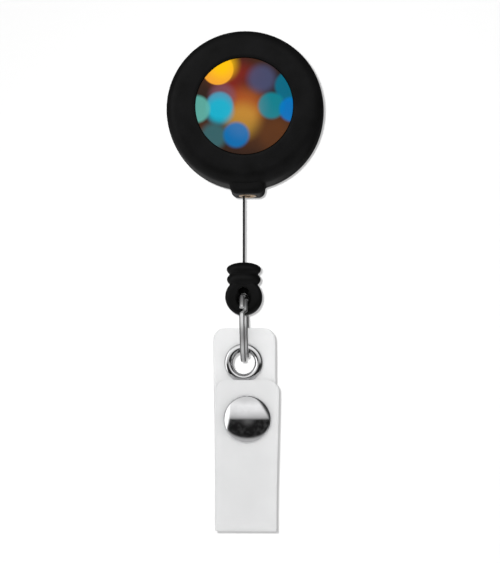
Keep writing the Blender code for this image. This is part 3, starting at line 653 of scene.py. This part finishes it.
def casing_side(edge_y, edge_r, boss_y, parting_y):
    """Rings from a face's rounded edge, over the boss, to the parting."""
    rounding, crown = 1.0, 0.012
    way = 1 if parting_y > boss_y else -1
    centre_y = edge_y + way * edge_r

    def side_at(y):
        """The side bulges a little, most at the parting."""
        return CASE_R - crown * (y - parting_y) ** 2

    centre_r = side_at(centre_y) - edge_r
    drop = math.acos(abs(boss_y - centre_y) / edge_r)

    def radius_at(y):
        if (y - centre_y) * way >= 0:
            return side_at(y)
        return centre_r + math.sqrt(max(edge_r**2 - min(abs(y - centre_y), edge_r) ** 2, 0))

    rings = []
    for i in range(11):
        a = drop * i / 10
        rings.append(casing_ring(centre_y - way * edge_r * math.cos(a), centre_r + edge_r * math.sin(a)))
    shelf_r = radius_at(boss_y)
    deepest = -BOSS_BOTTOM_Z - shelf_r
    insets = (deepest, (deepest + rounding) / 2, rounding)
    rings += [casing_ring(boss_y, shelf_r, inset) for inset in insets]
    for i in range(1, 8):
        b = math.pi / 2 * i / 7
        y = boss_y + way * rounding * (1 - math.cos(b))
        rings.append(casing_ring(y, radius_at(y), rounding * (1 - math.sin(b))))
    start = boss_y + way * rounding
    stop = parting_y - way * PARTING_BEVEL
    for i in range(1, 7):
        y = start + (stop - start) * i / 6
        rings.append(casing_ring(y, radius_at(y), 0.0))
    rings.append(casing_ring(parting_y, CASE_R - PARTING_BEVEL, PARTING_BEVEL))
    return rings


def bush_bore():
    """The solid that cuts the bush's seat through both shells, with a bevelled mouth."""
    bore, mouth = (BUSH_HIGH.x - BUSH_LOW.x) / 2 + 0.08, 0.2
    top, bevel_top, bottom = -13.7, -17.35, -17.6
    profile = [(0, top), (bore, top), (bore, bevel_top), (bore + mouth, bottom), (0, bottom)]
    return turned(profile, (BOSS_X, 0, 0), "Z", 64)


def build_casing(plastic, label_print, brass):
    seam = 0.035
    inner_r = CASE_R - WALL
    recess_y, recess_r = LABEL_HIGH.y + 0.12, LABEL_R + 0.14
    face = [(0, recess_y, 0), (recess_r, recess_y, 0), (recess_r, FACE_Y, 0.1),
            (recess_r + 0.5, CREST_Y, 0.18), (CASE_R - FRONT_EDGE_R, FACE_Y, 0)]
    front = [[(0, recess_y, 0)]]
    front += [casing_ring(y, r) for r, y in filleted(face)[1:-1]]
    front += casing_side(FACE_Y, FRONT_EDGE_R, BOSS_FRONT_Y, PARTING_Y - seam)
    inner = [(inner_r, PARTING_Y - seam), (inner_r, INNER_FRONT_Y + 1), (inner_r - 1, INNER_FRONT_Y)]
    front += [casing_ring(y, r) for r, y in inner] + [[(0, INNER_FRONT_Y, 0)]]

    hole_r = 1.3
    hole = [(hole_r, INNER_REAR_Y), (hole_r, REAR_Y - 0.1), (hole_r + 0.1, REAR_Y)]
    back = [casing_ring(y, r) for r, y in hole]
    back += casing_side(REAR_Y, REAR_EDGE_R, BOSS_REAR_Y, PARTING_Y + seam)
    inner = [(inner_r, PARTING_Y + seam), (inner_r, INNER_REAR_Y - 1), (inner_r - 1, INNER_REAR_Y)]
    back += [casing_ring(y, r) for r, y in inner + hole[:1]]
    for name, node, rings in (("casing_front", "front_shell", front), ("casing_rear", "rear_shell", back)):
        shell = made(name, lofted(rings, False), plastic, 35, 2e-4)
        cut(shell, bush_bore())
        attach(shell, "casing")
        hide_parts(node)

    disc = [(0, LABEL_LOW.y, 0), (LABEL_R, LABEL_LOW.y, 0.08), (LABEL_R, LABEL_HIGH.y, 0.03),
            (0, LABEL_HIGH.y, 0)]
    label = made("label", turned(filleted(disc), (0, 0, 0), steps=160), label_print)
    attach(label, "casing")
    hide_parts("label_disc")

    outer, bore = (BUSH_HIGH.x - BUSH_LOW.x) / 2, 1.1
    ring = [(bore, BUSH_HIGH.z, 0.1), (outer, BUSH_HIGH.z, 0.1), (outer, BUSH_LOW.z, 0.35),
            (bore, BUSH_LOW.z, 0.4)]
    bush = made("bush", turned(filleted(ring, 6), (BOSS_X, 0, 0), "Z", 64), brass)
    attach(bush, "casing")
    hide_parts("exit_bush")


# ---- cord, cord end and ring -----------------------------------------------------------------------------

def oval(half_w, half_d, z, sides):
    """A level ring of points round the line the cord hangs on."""
    turns = (math.tau * k / sides for k in range(sides))
    return [(HANG_X + half_w * math.cos(t), half_d * math.sin(t), z) for t in turns]


def build_cord(braid):
    bottom, top = (corner.z for corner in node_box("cord_run"))
    steps, radius = 72, CORD_D / 2
    sections = [oval(radius, radius, top + (bottom - top) * i / steps, 20) for i in range(steps + 1)]
    cord = made("cord", lofted(sections), braid, 60)
    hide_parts("cord_run")
    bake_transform(cord)


def rib(z, centre, wide, above, below):
    """A domed rib's half width at a height."""
    reach = above if z > centre else below
    share = 1 - ((z - centre) / reach) ** 2
    return wide * math.sqrt(share) if share > 0 else 0.0


def build_end(plastic):
    """Two domed ribs over a flat disc, moulded in one."""
    top = END_HIGH.z
    disc_r, disc_half = (END_HIGH.x - END_LOW.x) / 2, 2.0
    disc_z = END_LOW.z + disc_r
    upper_rib, lower_rib = (-32.4, 3.48, 1.4, 1.8), (-34.45, 3.42, 1.7, 1.9)
    neck_z, flattened = -36.2, 0.76
    heights = np.linspace(top, neck_z, 60)
    sections = [[(HANG_X, 0, top)]]
    for z in heights[1:]:
        wide = max(rib(z, *upper_rib), rib(z, *lower_rib))
        sections.append(oval(wide, wide * flattened, z, 64))
    body = made("end", lofted(sections), plastic)
    edge = 1.0
    disc = [(0, -disc_half)] + arc((disc_r - edge, -disc_half + edge), edge, -90, 0, 8)
    disc += arc((disc_r - edge, disc_half - edge), edge, 0, 90, 8) + [(0, disc_half)]
    cut(body, turned(disc, (HANG_X, 0, disc_z), steps=96), "UNION")
    remesh = body.modifiers.new("even", "REMESH")
    remesh.mode, remesh.voxel_size = "VOXEL", 0.085 * MM
    soften = body.modifiers.new("soften", "SMOOTH")
    soften.factor, soften.iterations = 0.5, 5
    apply_modifiers(body, 180)
    throat_r, hole_r, mouth_r = 1.06, 1.2, 2.1
    throat_y, straight, mouth_y = 0.4, 1.25, 2.3
    side = [(0, -mouth_y), (mouth_r, -mouth_y)]
    for share in np.linspace(0, 1, 9):
        narrowed = (mouth_r - hole_r) * math.sin(math.pi / 2 * share)
        side.append((mouth_r - narrowed, -mouth_y + (mouth_y - straight) * share))
    side.append((throat_r, -throat_y))
    side += [(r, -d) for r, d in reversed(side)]
    cut(body, turned(side, (HOLE.x, 0, HOLE.z), steps=72))
    pocket_z, pocket_r, flare, floor_y = -37.2, 1.1, 0.25, -0.9
    pocket = [(0, -mouth_y), (pocket_r + flare, -mouth_y), (pocket_r, -disc_half + flare),
              (pocket_r, floor_y), (0, floor_y)]
    cut(body, turned(pocket, (HANG_X, 0, pocket_z), steps=64))
    cord_r, knot_r = 0.45, 1.3
    shoulder, bottom = node_box("cord_knot")[1].z + 0.15, pocket_z - 0.3
    passage = [(0, top + 1), (cord_r, top + 1), (cord_r, shoulder), (knot_r, shoulder), (knot_r, bottom),
               (0, bottom)]
    cut(body, turned(passage, (HANG_X, 0, 0), "Z", 48))
    shade(body, 50)
    body.name = "end_moulding"
    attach(body, "cord_end")
    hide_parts("cord_end")


def ring_lean(y, z):
    """How far the ring stands aside from its plane: it leans and turns a little in its hole."""
    lean, turn = 0.018, 0.02
    return lean * (HOLE.z - z) - turn * y


def wire_section(slack=0.0):
    """The ring's rounded wire, across (along the ring's axis) and outward."""
    half_t, half_w, corner = WIRE_T / 2 + slack, WIRE_W / 2 + slack, 0.34
    return filleted([(-half_t, -half_w, corner), (half_t, -half_w, corner), (half_t, half_w, corner),
                     (-half_t, half_w, corner)], 6)


def build_hole_shade_disc(plastic):
    """A thin dark disc in the hole, round the ring's two wires, which turns with the ring: painted shade
    that makes the hole look dark.
    """
    outer_r, half_t = 1.05, 0.22
    disc = cylinder(HOLE.x, HOLE.z, outer_r, -half_t, half_t, 64)
    # Painted shade: this dark disc is not a part of the reel, it only darkens the hole.
    washer = made("hole_shade_disc", disc, plastic, 40)
    for lane in (-0.5, 0.5):
        centre = Vector((HANG_X - NEST_X * lane, 0, HOLE.z + NEST_R * lane))
        bore = [[centre + Vector((x, y, z)) for x, z in wire_section(0.03)] for y in (-0.5, 0.5)]
        cut(washer, lofted(bore))
    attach(washer, "ring")


def build_ring(steel):
    """Two nested turns of rounded wire that change places at the cut."""
    ring_r = (RING_HIGH.z - RING_LOW.z) / 2 - (WIRE_W + NEST_R) / 2
    centre_z = (RING_HIGH.z + RING_LOW.z) / 2
    cut_at, crossing, gap = math.radians(150), math.radians(13), math.radians(3)
    section = wire_section()
    start = (crossing + gap) / 2
    length = 2 * (math.tau - start)
    count = 320
    sections = []
    for i in range(count + 1):
        along = start + length * i / count
        swap = max(-0.5, min(0.5, (along - math.tau) / crossing))
        lane = math.sin(math.pi * swap) / 2
        turn = cut_at + along
        out = Vector((0, math.cos(turn), math.sin(turn)))
        middle = Vector((HANG_X - NEST_X * lane, 0, centre_z)) + out * (ring_r + NEST_R * lane)
        middle.x += ring_lean(middle.y, middle.z)
        trim = 1.0 if 0 < i < count else 0.86
        sections.append([middle + Vector((t * trim, 0, 0)) + out * w * trim for t, w in section])
    ring = made("ring", lofted(sections), steel, 45)
    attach(ring, "ring")
    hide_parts("split_ring")


# ---- strap -----------------------------------------------------------------------------------------------

def smooth_step(low, high, value):
    t = max(0.0, min(1.0, (value - low) / (high - low)))
    return t * t * (3 - 2 * t)


def strap_width(z, flap):
    """The strap's middle and half width at a height."""
    fold = (0.215, 6.08)
    top = (0.40, 6.43) if flap else (-0.20, 6.25)
    share = smooth_step(FOLD_MIDDLE_Z, FLAP_TOP if flap else STRAP_TOP, z)
    return tuple(f + (t - f) * share for f, t in zip(fold, top))


def build_strap(vinyl):
    """One sheet of vinyl, down the back, round the fold and up the front, wavy between its fixings."""
    across = [-1 + 2 * k / 24 for k in range(25)]
    stations = []
    rows, fold_rows, in_fold = 66, 24, 99
    back_length, flap_length = STRAP_TOP - FOLD_MIDDLE_Z, FLAP_TOP - FOLD_MIDDLE_Z

    def spaced(length, count, corner):
        """Distances from a free end, closer together in its rounded corners."""
        near = [corner * (1 - math.cos(math.pi / 2 * k / 10)) for k in range(11)]
        return near + [corner + (length - corner) * k / count for k in range(1, count + 1)]

    back_corner, flap_corner = 2.5, 2.3
    for gone in spaced(back_length, rows, back_corner):
        stations.append((BACK_Y, STRAP_TOP - gone, (0, -1), gone, back_corner, False))
    for k in range(1, fold_rows):
        t = math.pi * k / fold_rows
        y, z = FOLD.y + FOLD_R * math.cos(t), FOLD_MIDDLE_Z - FOLD_R * math.sin(t)
        stations.append((y, z, (-math.sin(t), -math.cos(t)), in_fold, 1, t > math.pi / 2))
    for gone in reversed(spaced(flap_length, rows, flap_corner)):
        stations.append((FLAP_Y, FLAP_TOP - gone, (0, 1), gone, flap_corner, True))

    sections = []
    skin, round_in = VINYL / 2, 0.10
    wave_depth, curl_depth = 0.16, 0.10
    for y, z, heading, gone, corner, flap in stations:
        middle, half = strap_width(z, flap)
        if gone < corner:
            half += -corner + math.sqrt(max(corner**2 - (corner - gone) ** 2, 0))
        normal = Vector((0, -heading[1], heading[0]))
        away = smooth_step(2.5, 9.0, abs(z - SNAP.z)) * smooth_step(2.5, 8.0, abs(z - EYELET.z))
        wave = wave_depth * away * math.sin(z * 0.42 + (1.3 if flap else 0.0)) * (1 if flap else 0.6)
        curl = curl_depth * away * math.cos(z * 0.23)

        def at(share, side):
            bend = 0.0 if gone == in_fold else wave + curl * share
            return Vector((middle + half * share, y + bend, z)) + normal * side

        edge = 1 - round_in / half
        front = [at(share * edge, skin) for share in across]
        rear = [at(share * edge, -skin) for share in reversed(across)]
        tips = [[at(way, skin - round_in), at(way, -skin + round_in)] for way in (1, -1)]
        sections.append(front + tips[0] + rear + [tips[1][1], tips[1][0]])
    strap = made("strap", lofted(sections), vinyl, 50)
    for centre, radius, y, reach in ((EYELET, 2.62, BACK_Y, 1.2), (SNAP, 1.15, BACK_Y, 1),
                                     (SNAP, 1.55, FLAP_Y, 1)):
        cut(strap, cylinder(centre.x, centre.z, radius, y - reach, y + reach))
    shade(strap, 50)
    for polygon in strap.data.polygons:
        polygon.material_index = 0
    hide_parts("strap_back", "strap_flap")
    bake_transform(strap)


def fitting(name, node, body, corners, centre, finish, steps=96):
    """A small turned piece that stands in for one node."""
    piece = made(name, turned(filleted(corners, 6), centre, steps=steps), finish, 55)
    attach(piece, body)
    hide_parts(node)


def build_fittings(chrome, steel):
    bore, rim = 2.25, (node_box("eyelet")[1].x - node_box("eyelet")[0].x) / 2
    barrel, crest, proud, face = 2.55, 2.95, 0.82, REST
    eyelet = [(bore, 0.2, 0.1), (bore, -face - 0.25, 0), (bore + 0.10, -face - 0.42, 0),
              (bore + 0.26, -face - 0.56, 0), (bore + 0.45, -face - proud + 0.09, 0)]
    for k in range(25):
        t = math.pi / 2 * k / 24
        eyelet.append((crest + (rim - crest) * math.sin(t), -face - proud * math.cos(t), 0))
    eyelet += [(barrel, -face, 0), (barrel, face + 0.45, 0.05), (barrel + 0.45, face + 0.45, 0.1),
               (barrel + 0.45, face + 0.65, 0.15), (bore + 0.15, face + 0.7, 0.2), (bore, face + 0.4, 0.3)]
    fitting("eyelet_front", "eyelet", "strap", eyelet, EYELET, chrome, 128)
    low = barrel + 0.15
    washer = [(low, face, 0.03), (rim - 0.1, face, 0.08), (rim - 0.1, face + 0.22, 0.12),
              (low + 0.7, face + 0.35, 0.2), (low, face + 0.35, 0.05)]
    fitting("eyelet_rear", "eyelet_washer", "strap", washer, EYELET, chrome)

    top, back = CAP_LOW.y, FLAP_Y - REST
    sphere, reach, roll = 8.5, 4.4, 0.83
    dome = []
    for k in range(25):
        r = reach * k / 24
        dome.append((r, top + sphere - math.sqrt(sphere**2 - r * r)))
    shoulder_y = dome[-1][1]
    lean = math.asin(reach / sphere)
    for k in range(1, 11):
        t = lean + (math.pi / 2 - lean) * k / 10
        r = reach + roll * (math.sin(t) - math.sin(lean))
        dome.append((r, shoulder_y + roll * (math.cos(lean) - math.cos(t))))
    profile = dome + [(dome[-1][0] - 0.1, back), (1.3, back), (1.3, FLAP_Y + 0.55), (0, FLAP_Y + 0.55)]
    cap = made("cap", turned(profile, SNAP, steps=128), chrome, 50)
    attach(cap, "flap")
    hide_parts("snap_cap")

    rear = FLAP_Y + REST
    end = -VINYL / 2 - 0.6
    socket = [(1.45, rear, 0.1), (3.7, rear, 0.1), (3.7, rear + 0.3, 0.12), (2.9, rear + 0.5, 0.2),
              (2.7, end, 0.15), (2.1, end, 0.15), (2.1, rear + 0.4, 0.1), (1.45, rear + 0.4, 0.05)]
    fitting("socket", "snap_socket", "flap", socket, SNAP, chrome, 64)
    base, button = -REST, -1.65
    stud = [(0, button, 0), (1.6, button, 0.2), (1.85, button + 0.3, 0.2), (1.85, button + 0.5, 0.1),
            (1.6, base - 0.35, 0.15), (3.3, base - 0.35, 0.2), (3.5, base, 0.05), (1.05, base, 0),
            (1.05, button + 0.35, 0), (0, button + 0.35, 0)]
    fitting("stud", "snap_stud", "strap", stud, SNAP, chrome, 64)
    head = REST
    post = [(0, button + 0.5, 0), (0.85, button + 0.5, 0.1), (0.85, head, 0), (3.4, head, 0.08),
            (3.4, head + 0.25, 0.2), (2.5, head + 0.62, 0.5), (1.3, head + 0.7, 0.2),
            (1.05, head + 0.5, 0.2), (0, head + 0.5, 0)]
    fitting("post", "snap_post", "strap", post, SNAP, chrome, 72)
    rivet_low, rivet_high = node_box("clip_rivet")
    foot, head = rivet_low.y + 0.45, BELT_Y + 0.15
    rivet = [(0, rivet_low.y, 0), (1.9, rivet_low.y, 0.1), (1.9, foot, 0.1), (1.0, foot, 0),
             (1.0, head, 0), (2.4, head, 0.06), (2.4, head + 0.25, 0.2), (1.5, rivet_high.y, 0.6),
             (0, rivet_high.y, 0)]
    fitting("rivet", "clip_rivet", "casing", rivet, (0, 0, 0), steel, 64)


# ---- belt clip -------------------------------------------------------------------------------------------

def leaf(name, path, finish, round_end=None):
    """A strip of spring steel along (y, z) points, with rolled edges and, at one end, rounded corners."""
    half, edge = (CLIP_HIGH.x - CLIP_LOW.x) / 2, 0.12
    inward = 1 - edge / half
    outline = ((1, edge), (1, CLIP_T - edge), (inward, CLIP_T), (0.5, CLIP_T), (-0.5, CLIP_T),
               (-inward, CLIP_T), (-1, CLIP_T - edge), (-1, edge), (-inward, 0), (-0.5, 0), (0.5, 0),
               (inward, 0))
    points = [Vector(p) for p in path]
    lengths = [0.0]
    for a, b in zip(points, points[1:]):
        lengths.append(lengths[-1] + (b - a).length)
    sections = []
    for i, point in enumerate(points):
        tangent = (points[min(i + 1, len(points) - 1)] - points[max(i - 1, 0)]).normalized()
        out = Vector((0, -tangent.y, tangent.x))
        width = half
        if round_end is not None:
            gone = lengths[i] if round_end == 0 else lengths[-1] - lengths[i]
            short = max(CLIP_CORNER - gone, 0)
            width = half - CLIP_CORNER + math.sqrt(CLIP_CORNER**2 - short**2)
        base = Vector((0, point.x, point.y))
        sections.append([base + Vector((x * width, 0, 0)) + out * (d - CLIP_T / 2) for x, d in outline])
    return made(name, lofted(sections), finish, 40)


def smooth_path(corners, fillet):
    """Points a little apart along a bent line whose corners are rounded."""
    spacing = 0.35
    rounded = filleted([(*corners[0], 0)] + [(*c, fillet) for c in corners[1:-1]] + [(*corners[-1], 0)], 8)
    points = []
    for a, b in zip(rounded, rounded[1:]):
        a, b = Vector(a), Vector(b)
        count = max(1, round((b - a).length / spacing))
        points += [tuple(a.lerp(b, k / count)) for k in range(count)]
    return points + [rounded[-1]]


def rounded_start(path):
    """Adds close points at the start of a path, for its rounded corners."""
    start, ahead = Vector(path[0]), (Vector(path[1]) - Vector(path[0])).normalized()
    steps = (CLIP_CORNER * (1 - math.cos(math.pi / 2 * k / 10)) for k in range(11))
    near = [tuple(start + ahead * step) for step in steps]
    return near + [p for p in path if (Vector(p) - start).length > CLIP_CORNER + 0.05]


def build_clip(steel):
    """The base leaf, the bend over its top, and the sprung tongue, which pinches near its foot."""
    base_y, tongue_y = BELT_Y - CLIP_T / 2, TONGUE_Y - CLIP_T / 2
    bend_r = (tongue_y - base_y) / 2
    bend_z = CLIP_HIGH.z - bend_r - CLIP_T / 2
    base = rounded_start(smooth_path([(base_y, CLIP_LOW.z), (base_y, bend_z)], 0))
    plate = leaf("clip_leaf", base, steel, 0)
    rivet_hole = 1.3
    cut(plate, cylinder(0, 0, rivet_hole, base_y - 1, base_y + 1))
    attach(plate, "casing")
    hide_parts("clip_base")

    bend = leaf("clip_bend", arc(((base_y + tongue_y) / 2, bend_z), bend_r, 180, 0, 40), steel)
    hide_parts("clip_base", "clip_tongue")
    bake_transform(bend)

    pinch_gap = 0.8
    pinch_y = BELT_Y + pinch_gap + CLIP_T / 2
    corners = [(tongue_y, bend_z), (tongue_y, 1.0), (tongue_y - 1.7, -4.6), (pinch_y, -7.4),
               (pinch_y + 2.0, -10.2)]
    path = smooth_path(corners, 1.6)
    tongue = leaf("clip_spring", rounded_start(path[::-1])[::-1], steel, 1)
    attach(tongue, "clip_tongue")
    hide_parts("clip_tongue")


def finish_hidden(finishes):
    """Gives the CAD nodes that stay their materials."""
    for node, finish in finishes.items():
        mesh = frame["nodes"][node].data
        mesh.materials.clear()
        mesh.materials.append(finish)


def main():
    bpy.context.scene.view_settings.view_transform = "Standard"
    make_camera()
    make_world()
    make_lights()
    make_stage()
    casing_black = moulded_black("casing_black", 0.0055, 0.46, 0.004)
    end_black = moulded_black("end_black", 0.0050, 0.42, 0.003)
    chrome = plated("chrome", (0.80, 0.80, 0.81), 0.10)
    nickel = plated("nickel", (0.70, 0.69, 0.68), 0.16, (0.1, 1.0, 1.0))
    brass = plated("brass", (0.62, 0.45, 0.30), 0.22)
    spring = plated("spring_steel", (0.42, 0.42, 0.44), 0.28, (1.0, 0.1, 1.0))
    braid = braided_cord()
    natural = plain_plastic("natural_plastic", (0.8, 0.79, 0.74))
    build_casing(casing_black, printed_label(), brass)
    build_cord(braid)
    build_end(end_black)
    build_hole_shade_disc(end_black)
    build_ring(ring_steel())
    build_strap(frosted_vinyl())
    build_fittings(chrome, nickel)
    build_clip(nickel)
    finish_hidden({
        "hub_axle": spring, "mainspring": spring, "rivet_washer": nickel,
        "spool": natural, "spring_cover": natural, "spool_washer": natural,
        "cord_winding": braid, "cord_lead": braid, "cord_knot": braid,
    })


main()
